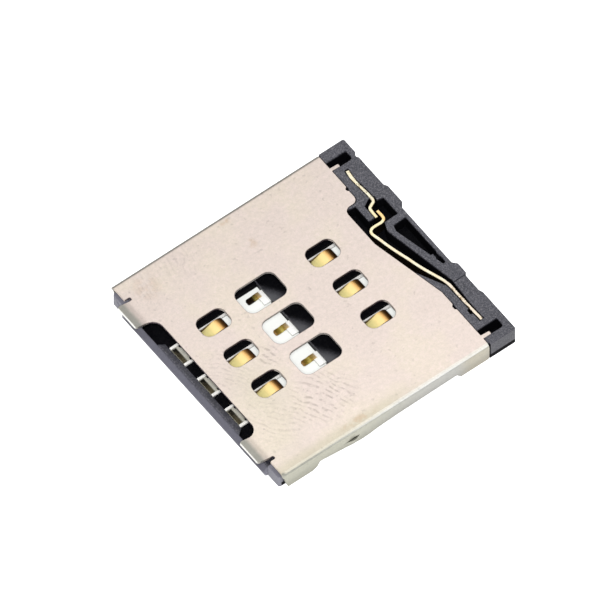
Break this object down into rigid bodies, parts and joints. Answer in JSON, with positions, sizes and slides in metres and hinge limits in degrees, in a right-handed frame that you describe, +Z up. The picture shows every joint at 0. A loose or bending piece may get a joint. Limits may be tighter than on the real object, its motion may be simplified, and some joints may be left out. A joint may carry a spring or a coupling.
{
  "type": "SIM card reader for a circuit board",
  "caption": "Low push-in reader for a small phone card: a folded metal cover over a black moulded base, with sprung gold contacts and a card-detect switch.",
  "frame": {"origin": "middle of the bottom of the whole part's bounding box, on the board's face", "axes": "+X from the card's entry towards the switch, +Y across the reader, +Z up from the board"},
  "size_m": [0.017, 0.0162, 0.0016],
  "materials": {
    "cover_metal": "satin rolled sheet with a warm nickel tone and faint scratches",
    "base_plastic": "black, matt",
    "contact_metal": "gold-plated tongue on a bright nickel-plated frame",
    "switch_metal": "pale gold plating"
  },
  "bodies": {
    "reader": {"base_housing": "base_plastic", "cover_shell": "cover_metal", "contact_front_near": "contact_metal", "contact_front_middle": "contact_metal", "contact_front_far": "contact_metal", "contact_rear_near": "contact_metal", "contact_rear_middle": "contact_metal", "contact_rear_far": "contact_metal", "switch_fixed_contact": "switch_metal"},
    "switch_arm": {"switch_spring_arm": "switch_metal"}
  },
  "joints": [
    {"name": "switch_arm_flex", "type": "hinge", "parent": "reader", "child": "switch_arm", "pos_m": [0.00733, -0.00504, 0.00045], "axis": [0, 0, 1], "range_deg": [-4.4, 0], "stiffness_Nm_per_rad": 0.027}
  ]
}
